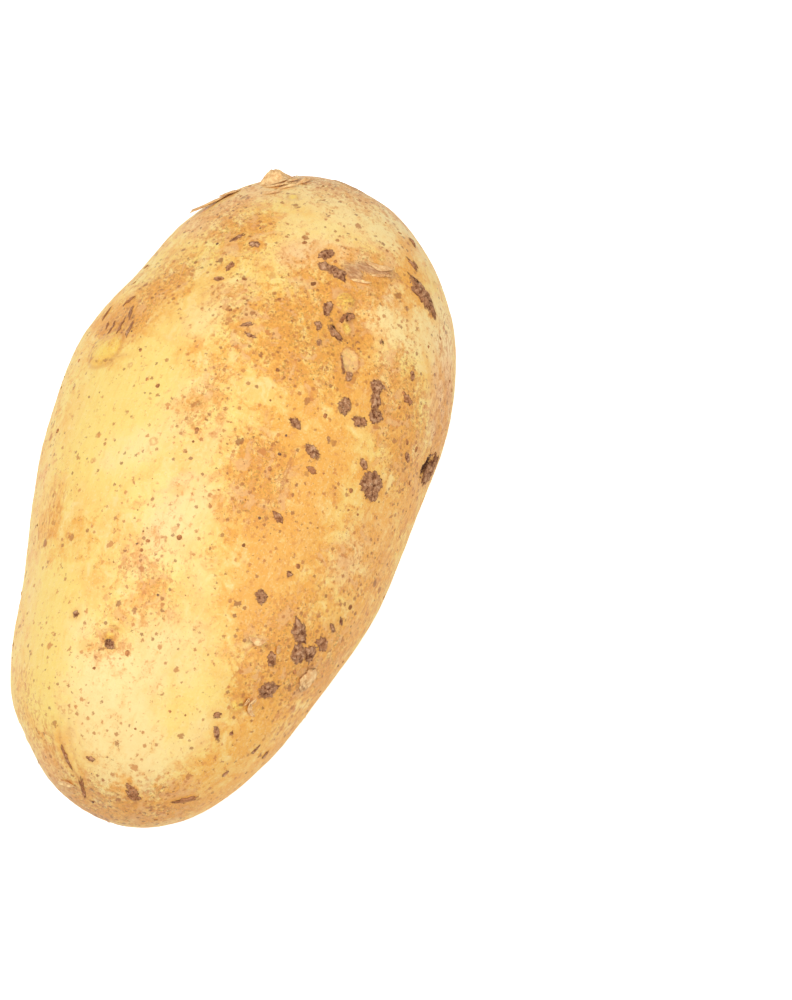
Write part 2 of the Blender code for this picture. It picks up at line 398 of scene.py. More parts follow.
# Marks on the skin: share of the way to the stem end, degrees round from the top to the right, length
# and width in mm, slant in degrees, rise in mm, and tone from 0 (dull purple) to 1 (light rust).
scabs = {
    "longByStem": (0.665, 52.5, 8.6, 2.7, 57, 0.30, 0.40),
    "neckByStem": (0.74, 47, 3.2, 0.9, 57, 0.08, 0.50),
    "neckSliver": (0.75, 48.5, 1.6, 0.5, 54, 0.08, 0.25),
    "dotByStem": (0.83, 51, 2.1, 1.1, 37, 0.12, 0.35),
    "smearHead": (0.63, 11, 2.8, 1.8, -37, 0.12, 0.35),
    "smearHeadLow": (0.59, 12, 2.4, 1.6, -81, 0.12, 0.35),
    "smearBody": (0.585, 17, 3.4, 2.2, 72, 0.14, 0.25),
    "smearLineA": (0.59, 24, 3.7, 0.35, -75, 0.05, 0.80),
    "smearLineB": (0.64, 33, 3.8, 0.35, -62, 0.05, 0.80),
    "eyeUpper": (0.47, 18, 2.5, 1.5, -5, 0.12, 0.05),
    "eyeSide": (0.41, 17, 1.9, 1.2, 18, 0.06, 0.30),
    "eyeLow": (0.36, 19, 1.2, 1.1, 28, 0.05, 0.25),
    "eyeLip": (0.41, 23, 3.6, 1.4, 61, 0.18, 0.30),
    "eyeShard": (0.47, 25, 2.5, 1.2, -42, 0.55, 0.60),
    "eyeCrack": (0.445, 20.5, 1.8, 0.4, 38, 0.02, 0.40),
    "eyeUnder": (0.40, 30, 3.8, 0.9, -33, 0.05, 0.60),
    "peelRim": (0.33, 28, 4.0, 0.5, 22, 0.06, 0.45),
    "peelKnot": (0.31, 31, 1.1, 1.0, 78, 0.10, 0.30),
    "crumbA": (0.30, 31, 1.2, 0.9, 0, 0.08, 0.25),
    "crumbB": (0.42, 36, 1.0, 0.8, 0, 0.05, 0.45),
    "crumbC": (0.45, 38, 0.9, 0.8, 0, 0.05, 0.30),
    "crumbD": (0.59, 45, 0.9, 0.9, 0, 0.05, 0.35),
    "topBar": (0.60, -22, 2.8, 0.9, -35, 0.12, 0.35),
    "topKnob": (0.59, -14, 1.7, 1.3, -84, 0.16, 0.10),
    "topDiamond": (0.50, -18, 2.1, 1.1, 0, 0.10, 0.55),
    "topFlat": (0.45, -19, 1.8, 1.0, -70, 0.08, 0.50),
    "dashA": (0.33, -3, 2.2, 0.7, -64, 0.10, 0.30),
    "dashB": (0.30, -1, 2.2, 0.7, 85, 0.10, 0.40),
    "ovalByFurrow": (0.41, 53, 1.7, 1.1, 21, 0.08, 0.40),
    "bootTop": (0.32, 41, 2.3, 2.6, 15, 0.12, 0.35),
    "bootLeg": (0.28, 42, 3.2, 2.0, 18, 0.10, 0.35),
    "bootFoot": (0.24, 44, 2.4, 2.8, 17, 0.12, 0.30),
    "pairLeft": (0.22, 33, 3.1, 2.3, -5, 0.14, 0.30),
    "pairRight": (0.20, 39, 2.7, 1.9, -83, 0.12, 0.45),
    "ragged": (0.11, 21, 2.1, 1.5, 71, 0.10, 0.30),
    "bean": (0.06, 29, 3.2, 1.6, 65, 0.12, 0.15),
    "paleBean": (0.01, 31, 2.2, 1.2, 89, 0.06, 0.65),
    "haloDot": (0.11, 32, 1.0, 0.9, 0, 0.05, 0.35),
    "bigScab": (0.067, 52, 4.8, 3.7, -62, 0.20, 0.20),
    "bigScabLobe": (0.10, 46.5, 1.9, 1.3, 60, 0.08, 0.35),
    "bigScabFoot": (0.045, 54, 3.0, 2.4, -62, 0.16, 0.20),
    "furrowScab": (0.25, 87, 6.6, 3.4, -25, 0.30, 0.30),
    "furrowDotA": (0.20, 63, 1.8, 1.1, 58, 0.08, 0.30),
    "furrowDotB": (0.16, 64, 1.6, 1.0, 86, 0.05, 0.60),
    "flankPatch": (0.34, 54, 2.4, 1.5, 84, 0.08, 0.60),
    "flankSpecks": (0.21, 54, 1.7, 1.3, 89, 0.05, 0.60),
    "orangeKnot": (-0.15, 27, 2.0, 1.3, 71, 0.08, 0.50),
    "darkDot": (-0.27, 38, 1.1, 1.0, 0, 0.08, 0.10),
    "lowPurple": (-0.36, 33, 2.4, 1.9, 56, 0.12, 0.05),
    "clusterTop": (-0.39, 52, 3.6, 2.8, 57, 0.14, 0.10),
    "clusterLeft": (-0.44, 57, 3.3, 2.9, 45, 0.16, 0.05),
    "clusterRight": (-0.42, 62, 2.6, 2.7, 3, 0.14, 0.10),
    "clusterBrown": (-0.38, 65, 3.3, 2.2, 89, 0.12, 0.50),
    "clusterOut": (-0.33, 65, 1.9, 1.0, 73, 0.08, 0.30),
    "clusterFar": (-0.30, 67, 1.6, 0.8, 62, 0.06, 0.20),
    "haloScab": (-0.49, 48, 2.5, 1.6, 45, 0.14, 0.45),
    "lowScab": (-0.56, 55, 3.4, 2.8, -32, 0.18, 0.25),
    "lowDashA": (-0.68, 42, 1.5, 1.1, -63, 0.08, 0.50),
    "lowDashB": (-0.72, 47, 2.8, 0.9, 46, 0.12, 0.35),
    "lowDot": (-0.70, 54, 0.9, 0.8, 0, 0.06, 0.45),
    "rimA": (-0.69, 84, 2.0, 0.8, -7, 0.08, 0.40),
    "rimB": (-0.70, 73, 2.0, 0.7, -3, 0.08, 0.40),
    "rimC": (-0.79, 69, 1.6, 0.7, -7, 0.08, 0.40),
    "smearUnder": (-0.89, 69, 5.2, 1.3, -47, 0.05, 0.70),
    "smearBud": (-0.94, 34, 3.2, 1.9, 56, 0.08, 0.60),
    "budTick": (-0.90, -3, 1.5, 0.9, 82, 0.08, 0.55),
    "leftPit": (-0.62, -8, 1.9, 1.5, 71, 0.10, 0.30),
    "leftRust": (-0.64, -16, 1.8, 1.1, -64, 0.05, 0.80),
    "leftDiamond": (-0.57, -24, 1.1, 1.1, 45, 0.06, 0.20),
    "hatchOuter": (0.32, -63, 3.0, 0.5, -2, 0.06, 0.60),
    "hatchA": (0.26, -53, 3.0, 0.7, 6, 0.08, 0.45),
    "hatchB": (0.26, -48, 3.3, 0.6, 14, 0.08, 0.55),
    "hatchC": (0.25, -42, 3.4, 0.8, 6, 0.08, 0.45),
    "hatchD": (0.31, -47, 2.9, 0.9, 19, 0.08, 0.40),
    "hatchE": (0.35, -52, 2.9, 0.6, -61, 0.08, 0.60),
    "hatchBar": (0.27, -51, 9.0, 0.6, 81, 0.04, 0.75),
    "hatchLeft": (0.27, -57, 1.8, 0.6, 20, 0.06, 0.50),
    "edgeA": (0.38, 74, 4.3, 0.6, 57, 0.05, 0.60),
    "edgeB": (0.44, 77, 6.5, 0.6, 49, 0.05, 0.70),
    "edgeC": (0.46, 61, 3.2, 0.5, 39, 0.05, 0.80),
    "edgeFoldA": (0.30, 79, 2.8, 0.6, -19, 0.05, 0.45),
    "edgeFoldB": (0.32, 84, 4.0, 0.6, -35, 0.05, 0.55),
    "budSmearA": (-0.93, 30, 3.4, 1.3, 61, 0.08, 0.55),
    "budSmearB": (-0.89, 67, 5.4, 1.0, -40, 0.06, 0.70),
    "budSmearC": (-0.91, -21, 4.5, 0.8, 23, 0.06, 0.60),
    "budSmearD": (-0.96, -9, 5.6, 1.0, -11, 0.06, 0.65),
    "lowEdge": (-0.87, -44, 4.0, 0.6, 35, 0.05, 0.60),
    "hatchCrease": (0.145, -44, 4.2, 0.7, -75, 0.0, 0.60),
    "hatchCreaseLow": (0.14, -50, 4.0, 0.5, -100, 0.0, 0.75),
    "leftStreak": (-0.29, -48, 4.0, 0.7, -4, 0.0, 0.75),
    "leftStreakLow": (-0.32, -56, 3.2, 0.7, -12, 0.0, 0.75),
    "rashA": (0.06, -8, 3.4, 1.4, -62, 0.04, 0.90),
    "rashB": (-0.50, -5, 1.5, 0.7, -46, 0.05, 0.70),
    "rashC": (-0.18, -3, 1.1, 0.7, -54, 0.04, 0.85),
    # the side that lies away
    "underLong": (0.42, 172, 5.6, 2.4, 30, 0.20, 0.30),
    "underBroad": (-0.22, -150, 4.6, 3.4, 65, 0.20, 0.20),
    "underBroadLobe": (-0.17, -146, 2.4, 1.8, 10, 0.12, 0.30),
    "underBean": (0.08, 136, 2.8, 1.3, 20, 0.12, 0.30),
    "backPair": (0.12, -104, 2.6, 1.9, 70, 0.14, 0.35),
    "backPairLow": (0.05, -112, 1.8, 1.5, -20, 0.10, 0.45),
    "backOval": (-0.55, -104, 2.6, 1.7, 40, 0.14, 0.20),
    "backDash": (0.60, -100, 2.9, 0.9, 25, 0.10, 0.40),
    "rightLow": (-0.06, 118, 3.0, 2.1, -50, 0.14, 0.30),
    "rightLowDot": (-0.13, 124, 1.5, 1.2, 0, 0.10, 0.20),
    "underSmear": (-0.66, 170, 5.0, 1.6, 60, 0.06, 0.60),
    "underKnob": (0.75, -150, 1.9, 1.4, 0, 0.14, 0.10),
}
corks = {  # dry tan patches, with the same columns
    "smearTail": (0.65, 29, 8.5, 2.0, -75, 0.14, 0.5),
    "smearRoot": (0.61, 22, 3.6, 3.0, 80, 0.12, 0.5),
    "tanLump": (-0.48, 69, 4.2, 2.9, 12, 0.55, 0.5),
    "curledFlake": (-0.47, 39, 3.0, 0.9, -79, 0.20, 0.5),
    "stolonScar": (0.955, 10, 6.5, 5.0, 40, 0.10, 0.4),
    "stemScales": (0.88, -22, 6.0, 2.0, -45, 0.10, 0.6),
    "underCork": (0.30, -160, 6.0, 2.4, 50, 0.12, 0.5),
}
peels = {  # skin that has rubbed off, lower than its surround
    "peelByEye": (0.35, 30, 4.9, 3.3, 21, -0.12, 0.5),
    "scratch": (-0.03, 24, 5.0, 0.6, 5, -0.05, 0.5),
    "underPeel": (0.02, 168, 6.5, 3.8, -30, -0.12, 0.5),
}
pits = {  # openings, painted near black as the shade inside them
    "furrowPit": (0.24, 81.5, 5.4, 1.7, -20, -0.8, 0.0),
    "leftPitHole": (-0.615, -9, 1.0, 0.8, 60, -0.3, 0.0),
    "eyeSlit": (0.425, 22.5, 2.6, 0.5, 58, -0.3, 0.0),
    "dotHoleA": (0.45, 39, 0.7, 0.6, 0, -0.1, 0.0),
}
eyes = {  # place, bud size in mm, brow length in mm, slant
    "nearStem": (0.44, 25.5, 1.3, 0.5, -20),
    "nearStemUp": (0.51, 22.5, 1.8, 0.5, 60),
    "leftShoulder": (0.185, -49, 3.8, 0.5, 82),
    "lowLeft": (-0.60, -9, 0.9, 2.5, 70),
    "lowRight": (-0.63, 48, 1.3, 4.0, 60),
    "rightFurrow": (0.25, 84, 1.4, 3.0, -10),
    "underLeft": (-0.05, -128, 1.8, 6.0, 80),
    "underRight": (0.62, 150, 1.8, 6.0, 80),
    "underBud": (-0.70, 128, 1.6, 4.5, 80),
    "besideTip": (-0.86, -95, 1.5, 4.0, 75),
    "stemBump": (0.80, -13, 0.9, 1.5, 0),
}
# colour zones of each kind: a trail of places over the skin, its reach in mm and its strength
zones = {
    "lemon": (
        (((0.16, -30), (0.04, -38), (-0.07, -38), (-0.15, -30)), 9, 1.0),
        (((0.10, -24), (-0.04, -22)), 8, 0.9), (((-0.45, -44), (-0.60, -36), (-0.76, -33)), 8, 1.0),
        (((-0.66, 30), (-0.78, 28)), 6, 0.8), (((0.52, -32), (0.40, -26)), 5, 0.4),
        (((0.30, 160),), 16, 0.8), (((-0.50, -130),), 14, 0.8), (((-0.20, 150),), 14, 0.7),
    ),
    # pale trails: partly the skin's own pale patches, partly a painted sheen on the broad bright places that
    # face the lamps
    "cream": (
        (((-0.73, -2), (-0.83, 6), (-0.88, 18)), 9, 1.2), (((-0.66, 8), (-0.56, 9)), 7, 0.9),
        (((-0.62, 19), (-0.52, 18)), 6, 0.7), (((-0.60, -22), (-0.68, -18)), 5, 0.7),
        (((-0.20, 2), (-0.30, 0)), 7, 0.8), (((-0.14, -27), (-0.03, -13), (0.09, -9)), 5, 0.7),
        (((0.30, -17), (0.41, -14)), 5, 0.8), (((0.89, -6), (0.85, 14), (0.83, 34)), 10, 1.3),
        (((0.70, -5), (0.74, 14)), 6, 0.7), (((0.62, 66), (0.55, 50), (0.52, 38)), 7, 1.2),
        (((-0.72, 38), (-0.84, 36)), 5, 0.7), (((-0.36, 11), (-0.43, 14)), 5, 0.6),
        (((0.45, -150),), 10, 0.7), (((-0.55, 160),), 12, 0.8), (((0.05, -100),), 10, 0.5),
    ),
    "blush": (
        (((0.81, -32), (0.66, -44)), 7, 0.7), (((0.60, 1), (0.65, 19), (0.60, 33)), 5, 0.8),
        (((0.54, 70), (0.43, 74), (0.35, 80)), 6, 1.0), (((0.24, 50), (0.38, 42)), 5, 0.6),
        (((-0.02, 64), (-0.16, 57)), 7, 0.7), (((-0.18, -62), (-0.70, -60)), 7, 0.4),
        (((-0.94, -47),), 8, 0.6), (((-0.40, -8), (0.0, 1)), 4, 0.5), (((0.20, 130),), 10, 0.5),
        (((-0.35, -110),), 12, 0.6), (((0.70, 175),), 12, 0.6),
    ),
    # of these amber trails, those along the right side (turns 58 to 90) and round the low end darken the skin
    # towards those edges, partly its own orange and partly painted shade
    "amber": (
        (((0.56, 22), (0.46, 18), (0.35, 26), (0.28, 38)), 7, 1.0),
        (((0.40, 6), (0.26, 12), (0.13, 26)), 6, 0.8), (((0.08, 20), (-0.03, 16), (-0.12, 19)), 6, 0.9),
        (((0.06, 34), (-0.06, 32), (-0.16, 36)), 8, 1.0), (((-0.20, 24), (-0.28, 30), (-0.38, 34)), 8, 1.0),
        (((-0.34, 44), (-0.44, 50), (-0.58, 58)), 8, 1.0),
        (((0.40, -36), (0.28, -40), (0.28, -56)), 6, 0.9), (((0.30, 44), (0.19, 66), (0.12, 76)), 7, 0.9),
        (((0.05, 58), (-0.10, 72), (-0.30, 76)), 8, 0.9), (((-0.36, 62), (-0.55, 68), (-0.70, 64)), 7, 0.9),
        (((0.17, 2), (0.14, 10)), 4, 0.5), (((-0.81, 60), (-0.93, 64), (-0.98, 36), (-0.99, 0)), 5.5, 0.8),
        (((0.20, -14), (0.22, -3)), 5, 0.6), (((-0.35, -52), (-0.37, -34)), 5, 0.6),
        # the short trail from (0.39, 28) to (0.43, 32) beside the eye near the stem is partly brown skin,
        # partly painted shade under the eye's folds
        (((0.68, -30), (0.66, -18)), 5, 0.6), (((0.39, 28), (0.43, 32)), 2.2, 1.4),
        (((0.78, 46), (0.64, 46)), 5, 0.8), (((-0.45, 88), (-0.85, 90)), 10, 0.8),
        (((0.10, 100),), 12, 0.7), (((-0.96, -64),), 8, 0.6), (((0.80, 110),), 12, 0.7),
        (((0.0, -150),), 12, 0.6), (((-0.80, 170),), 12, 0.7), (((0.90, -70),), 10, 0.6),
    ),
    "streaky": (
        (((0.62, 72), (0.42, 76), (0.30, 80)), 5, 1.0), (((0.10, 82), (-0.30, 82), (-0.60, 78)), 5, 0.9),
        (((-0.78, -54), (-0.94, -40), (-0.99, -10)), 5, 1.0), (((-0.27, -50), (-0.36, -56)), 4, 0.9),
        (((0.86, 20), (0.90, -20)), 6, 0.5), (((0.66, 26),), 5, 0.5), (((0.30, -95), (-0.30, -95)), 7, 0.6),
        (((-0.50, 130), (0.30, 140)), 7, 0.6), (((-0.93, 70),), 6, 0.8),
    ),
    "rust": (
        (((-0.03, 16), (-0.12, 20)), 5, 1.0), (((0.50, 15), (0.40, 17), (0.33, 24)), 6, 1.0),
        (((0.40, 5), (0.28, 12)), 5, 0.8), (((0.46, -36), (0.34, -44)), 5, 0.8),
        (((0.28, -54), (0.28, -42)), 4, 1.0), (((0.15, -6), (0.04, -8)), 4, 0.6),
        (((-0.40, -6), (-0.50, 0)), 5, 0.45), (((0.36, 48), (0.20, 62)), 6, 1.0),
        # the short trail from (0.395, 29) to (0.43, 32) beside the eye near the stem is partly brown skin,
        # partly painted shade under the eye's folds
        (((0.395, 29), (0.43, 32)), 1.8, 1.6), (((0.66, 30), (0.55, 26)), 5, 0.8),
        (((-0.40, 50), (-0.48, 62), (-0.40, 72)), 6, 1.0),
        (((-0.99, -30), (-0.98, 20), (-0.93, 62)), 6, 0.9), (((0.68, -34), (0.60, -20)), 6, 0.7),
        (((0.26, 86), (0.45, 80)), 5, 0.8), (((-0.62, -10),), 3, 0.7), (((-0.52, 44), (-0.60, 50)), 4, 0.6),
        (((0.40, -12), (0.30, 0)), 6, 0.5), (((0.93, -35), (0.93, 0), (0.96, 60)), 7, 0.9),
        (((-0.15, 62),), 10, 0.4), (((-0.05, -128),), 7, 0.9), (((0.62, 150),), 7, 0.9),
        (((-0.70, 128),), 7, 0.9), (((-0.20, -148),), 7, 0.8), (((0.45, 172),), 8, 0.7),
        (((0.10, 120),), 8, 0.6), (((0.20, -100),), 8, 0.6),
    ),
}


def trailDistance(points, places):
    ends = [np.array(spot(along, turn)[0]) for along, turn in places]
    best = np.linalg.norm(points - ends[0], axis=1)
    for start, end in zip(ends, ends[1:]):
        run = end - start
        share = np.clip((points - start) @ run / (run @ run), 0, 1)
        best = np.minimum(best, np.linalg.norm(points - start - share[:, None] * run, axis=1))
    return best


def blobField(points, mark):
    along, turn, length, width, slant = mark[:5]
    place, outward, main, cross = (np.array(v) for v in spot(along, turn, slant))
    offset = (points - place) / mm
    a, b = length / 2, width / 2
    deep = offset @ outward / (1.5 * max(a, b))
    reach = np.sqrt((offset @ main / a) ** 2 + (offset @ cross / b) ** 2 + deep ** 2)
    return (1 - reach) * b


def store(mesh, name, values):
    values = np.ascontiguousarray(values, np.float32)
    mesh.attributes.new(name, "FLOAT", "POINT").data.foreach_set("value", values)
    return values


def readPoints(mesh, name):
    values = np.empty(len(mesh.vertices) * 3, np.float32)
    mesh.vertices.foreach_get(name, values)
    return values.reshape(-1, 3).astype(float)


def softStep(values, start, end):
    t = np.clip((values - start) / (end - start), 0, 1)
    return t * t * (3 - 2 * t)


# small folds of skin: place, slant, folds per mm, half length, half width and height in mm
foldSets = (
    (0.33, 79, -14, 0.42, 6.5, 3.4, 0.14),
    (0.42, 72, -20, 0.40, 7.0, 3.0, 0.07),
    (0.435, 30.5, -12, 0.75, 2.8, 1.5, 0.20),
    (0.62, 27, -62, 0.9, 4.2, 1.6, 0.06),
    (0.15, -43, -82, 0.5, 2.6, 0.9, 0.10),
    (0.27, -51, 5, 0.55, 1.8, 4.6, 0.06),
    (0.25, 86, -20, 0.5, 4.0, 2.2, 0.10),
    (-0.92, -25, 20, 0.5, 6.0, 3.5, 0.07),
    (-0.94, 40, -30, 0.5, 6.0, 4.0, 0.07),
    (-0.45, 68, 10, 0.7, 2.6, 2.0, 0.08),
    (0.88, -30, -50, 0.6, 4.0, 3.0, 0.08),
    (-0.05, -128, 80, 0.5, 4.0, 2.0, 0.10),
    (0.62, 150, 80, 0.5, 4.0, 2.0, 0.10),
    (-0.70, 128, 80, 0.5, 4.0, 2.0, 0.10),
)


farAway = -4.0  # mm: what a mark's field says where no mark is near


def markSkin():
    mesh = skin.data
    count = len(mesh.vertices)
    points, normals = readPoints(mesh, "co"), readPoints(mesh, "normal")
    wobble = np.array([noise.noise(Vector(p) * 900) for p in points])
    fine = np.array([noise.noise(Vector(p) * 2200) for p in points])
    height = np.zeros(count)
    fields = {}
    for kind, marks in (("scab", scabs), ("cork", corks), ("peel", peels), ("pit", pits)):
        best = np.full(count, farAway)
        tone = np.full(count, 0.5)
        for mark in marks.values():
            field = blobField(points, mark)
            closer = field > best
            best = np.where(closer, field, best)
            tone = np.where(closer, mark[6], tone)
            edge = 0.35 * min(1.0, mark[3] / 2)
            inside = softStep(field + 0.3 * wobble, -edge * 0.3, edge)
            rough = 1 + 0.6 * fine if kind in ("scab", "cork") else 1.0
            height += mark[5] * inside * rough
            if kind == "peel":  # the torn edge stands up
                height += 0.12 * np.exp(-((field + 0.3 * wobble) / 0.25) ** 2)
        fields[kind] = store(mesh, kind, best)
        if kind == "scab":
            store(mesh, "scabTone", tone)
    budField = np.full(count, farAway)
    for along, turn, bud, brow, slant in eyes.values():
        place, outward, main, cross = (np.array(v) for v in spot(along, turn, slant))
        offset = (points - place) / mm
        u, v = offset @ main, offset @ cross
        near = np.exp(-((offset @ outward) / 5) ** 2)
        radius = np.sqrt(u ** 2 + v ** 2)
        dome = np.clip(1 - (radius / bud) ** 2, 0, 1)
        rings = 0.05 * np.cos(radius / bud * 9.0) * (radius < bud) * (bud < 2)
        moat = 0.06 * np.exp(-((radius - bud * 1.15) / 0.35) ** 2)
        height += near * (min(0.26 * bud, 0.5) * dome + rings - moat)
        # the brow bows round the bud on its stem side
        bow = v + 0.10 * u ** 2 / max(bud, 1.0) + bud * 1.5
        reach = np.exp(-(u / (brow * 0.5)) ** 4)
        ridge, slit = np.exp(-((bow + 0.5) / 0.6) ** 2), np.exp(-(bow / 0.35) ** 2)
        height += near * reach * (0.16 * ridge - 0.22 * slit)
        budField = np.maximum(budField, (1 - radius / bud) * bud * near + farAway * (1 - near))
    fields["bud"] = store(mesh, "bud", budField)
    folds = np.zeros(count)
    for along, turn, slant, pitch, reach, breadth, rise in foldSets:
        place, outward, main, cross = (np.array(v) for v in spot(along, turn, slant))
        offset = (points - place) / mm
        u, v = offset @ main, offset @ cross + 0.05 * (offset @ main) ** 2
        near = np.exp(-(u / reach) ** 4 - (v / breadth) ** 2 - ((offset @ outward) / 5) ** 2)
        wave = np.cos(6.283 * pitch * v + 0.5 * np.sin(u * 0.9) + 2.5 * wobble)
        height += rise * wave * near
        # the troughs of the folds, which the skin finish paints darker as shade
        folds = np.maximum(folds, near * softStep(-wave, 0.0, 1.0))
    for kind, trails in zones.items():
        total = np.zeros(count)
        for places, reach, strength in trails:
            away = trailDistance(points, places) / (reach * mm)
            total = np.maximum(total, strength * np.exp(-away ** 2))
        fields[kind] = store(mesh, kind, total)
    store(mesh, "fold", folds)
    # how thickly pores, soil and hairs lie
    offFloor = softStep(points[:, 2] / mm, 0.8, 2.2)
    clear = offFloor * softStep(fields["scab"], 0.0, -0.6) * softStep(fields["cork"], 0.0, -0.6)
    clear = clear * softStep(fields["bud"], 0.0, -0.4)
    store(mesh, "poreShare", clear * np.clip(0.3 + 0.7 * fields["rust"] - 0.15 * fields["lemon"], 0.05, 1))
    dirt = softStep(fields["pit"], -0.9, 0.1) + 0.10 * softStep(fields["scab"], -0.2, 0.4)
    dirt += 0.07 * np.exp(-((fields["bud"] + 0.3) / 0.4) ** 2) + 0.012 * fields["rust"]
    store(mesh, "soilShare", offFloor * np.clip(dirt, 0, 1))
    toStub = np.linalg.norm(points - np.array(spot(0.9, -30)[0]), axis=1) / mm
    store(mesh, "hairShare", offFloor * (0.5 * softStep(toStub, 9, 2) + 0.006))
    moved = points + normals * (height * mm)[:, None]
    moved[:, 2] = np.maximum(moved[:, 2], 0.0)
    mesh.vertices.foreach_set("co", moved.astype(np.float32).ravel())
    mesh.update()


markSkin()
print("eyes, scabs and colour zones marked")

# skin finish
skinLook = {
    "gold": shade(249, 204, 112), "lemon": shade(250, 218, 122), "cream": shade(253, 226, 160),
    "amber": shade(243, 172, 73), "blush": shade(249, 203, 142), "beige": shade(238, 184, 124),
    "rust": shade(214, 136, 70), "deepRust": shade(150, 92, 52), "moss": shade(172, 130, 62),
    "scabDark": shade(158, 104, 70), "scabLight": shade(206, 150, 104), "scabRust": shade(196, 124, 72),
    "cork": shade(224, 178, 130), "corkDark": shade(184, 130, 90),
    "bud": shade(248, 210, 96), "pitShade": shade(84, 48, 26), "peel": shade(251, 216, 142), "level": 0.9,
    "roughness": 0.36, "roughGrain": 0.16, "dryRoughness": 0.4, "specular": 0.3,
    "grainHeight": 0.11, "streakHeight": 0.05, "speckHeight": 0.06, "wrinkleHeight": 0.3,  # mm
}
speckLayers = (  # cell in mm, share low and high, radius, strength, ragged, shift
    (0.9, 0.16, 0.80, 0.44, 0.75, 0.7, 9.0),
    (2.2, 0.16, 0.62, 0.32, 0.75, 0.65, 17.0),
    (4.6, 0.25, 0.60, 0.19, 0.80, 0.45, 23.0),
)


def skinMaterial():
    material, tree, shader, inMm = newMaterial("potatoSkin")
    look = skinLook
    cloud = grain(tree, inMm, 6.0, 4.0, 0.62)
    cloudTwo = grain(tree, inMm, 2.6, 4.0, 0.65, 31.0, 0.6)
    fine = grain(tree, inMm, 0.8, 4.0, 0.7, 77.0)
    finest = grain(tree, inMm, 0.38, 2.0, 0.6, 5.0)
    streak = grain(tree, scaled(tree, inMm, (0.16, 1.0, 1.0)), 0.8, 3.0, 0.6, 12.0)
    wander = plus(tree, timesPlus(tree, cloudTwo, 1.0, -0.5),
                  timesPlus(tree, cloud, 1.0, -0.5))
    ragged = plus(tree, timesPlus(tree, fine, 1.3, -0.65),
                  timesPlus(tree, finest, 0.6, -0.3))

    def zone(name, low=0.2, high=0.9, amount=1.0, spread=0.9):
        value = plus(tree, attribute(tree, name), times(tree, wander, spread))
        value = timesPlus(tree, ragged, 0.35, value)
        return ease(tree, value, low, high, 0.0, amount)

    colour = tint(tree, ease(tree, cloud, 0.38, 0.62), look["gold"], look["lemon"])

    def cover(mask, paint):
        nonlocal colour
        colour = tint(tree, mask, colour, paint)

    cover(ease(tree, cloudTwo, 0.5, 0.66, 0.0, 0.6), look["amber"])
    cover(ease(tree, cloudTwo, 0.46, 0.32, 0.0, 0.45), look["cream"])
    cover(zone("lemon", 0.2, 0.9, 0.85), look["lemon"])
    cover(zone("blush"), look["blush"])
    # these pale zones: the skin's own pale patches with a painted sheen where the lamps light it broadly
    cover(zone("cream", 0.25, 1.0, 0.75), look["cream"])
    cover(zone("amber", 0.2, 0.95, 0.85, 1.5), look["amber"])
    glow = timesPlus(tree, ragged, 0.8, attribute(tree, "bud"))
    cover(ease(tree, glow, -0.3, 0.6, 0.0, 0.9), look["bud"])
    # faint streaks that run to the stem, and a fine grain
    cover(ease(tree, streak, 0.52, 0.72, 0.0, 0.22), look["amber"])
    cover(ease(tree, streak, 0.48, 0.30, 0.0, 0.22), look["cream"])
    cover(ease(tree, finest, 0.47, 0.27, 0.0, 0.5), look["cream"])

    clean = attribute(tree, "lemon")
    rusty = timesPlus(tree, clean, -0.22, plus(tree, attribute(tree, "rust"), 0.27))
    rusty = ease(tree, timesPlus(tree, wander, 0.75, rusty), 0.02, 1.0)
    stretch = grain(tree, scaled(tree, inMm, (0.22, 1.0, 1.0)), 0.55, 4.0, 0.65, 93.0, 0.5)
    streaky = ease(tree, attribute(tree, "streaky"), 0.15, 0.8, 0.0, 0.75)
    lines = times(tree, ease(tree, stretch, 0.5, 0.6), streaky)
    cover(lines, look["rust"])
    # russet: broken outer skin, thicker where the zones say
    cluster = timesPlus(tree, rusty, 0.15, timesPlus(tree, cloudTwo, 0.12, -0.06))
    fleck = ease(tree, plus(tree, fine, cluster), 0.60, 0.69)
    cover(times(tree, fleck, 0.6), look["rust"])
    small = grain(tree, inMm, 0.5, 3.0, 0.75, 51.0)
    tick = ease(tree, plus(tree, small, cluster), 0.68, 0.76)
    tickColour = tint(tree, ease(tree, cloud, 0.4, 0.6), look["deepRust"], look["moss"])
    cover(times(tree, tick, 0.75), tickColour)
    under = times(tree, rusty, ease(tree, cloudTwo, 0.40, 0.62, 0.0, 0.5))
    cover(under, look["amber"])
    # patches of duller, thicker skin with a thin dark outline
    patchField = grain(tree, inMm, 3.4, 5.0, 0.62, 64.0, 0.8)
    patch = times(tree, ease(tree, patchField, 0.53, 0.60), ease(tree, rusty, 0.2, 0.8, 0.0, 0.6))
    cover(patch, look["beige"])
    outline = times(tree, ease(tree, patchField, 0.535, 0.548), ease(tree, patchField, 0.562, 0.550))
    outline = times(tree, outline, ease(tree, rusty, 0.05, 0.5, 0.0, 0.5))
    cover(outline, look["rust"])
    for cell, shareLow, shareHigh, radius, strength, wobbly, shift in speckLayers:
        share = timesPlus(tree, rusty, shareHigh - shareLow, shareLow)
        dots = useGroup(tree, speckles, Vector=inMm, Cell=cell, Share=share, Radius=radius,
                        Ragged=wobbly, Shift=shift)
        dotColour = tint(tree, dots["Tone"], look["rust"], look["deepRust"])
        cover(times(tree, dots["Mask"], strength), dotColour)
    poreDots = useGroup(tree, speckles, Vector=inMm, Cell=4.3, Share=0.6, Radius=0.20,
                        Ragged=0.25, Shift=41.0)
    cover(times(tree, poreDots["Rim"], 0.55), look["rust"])

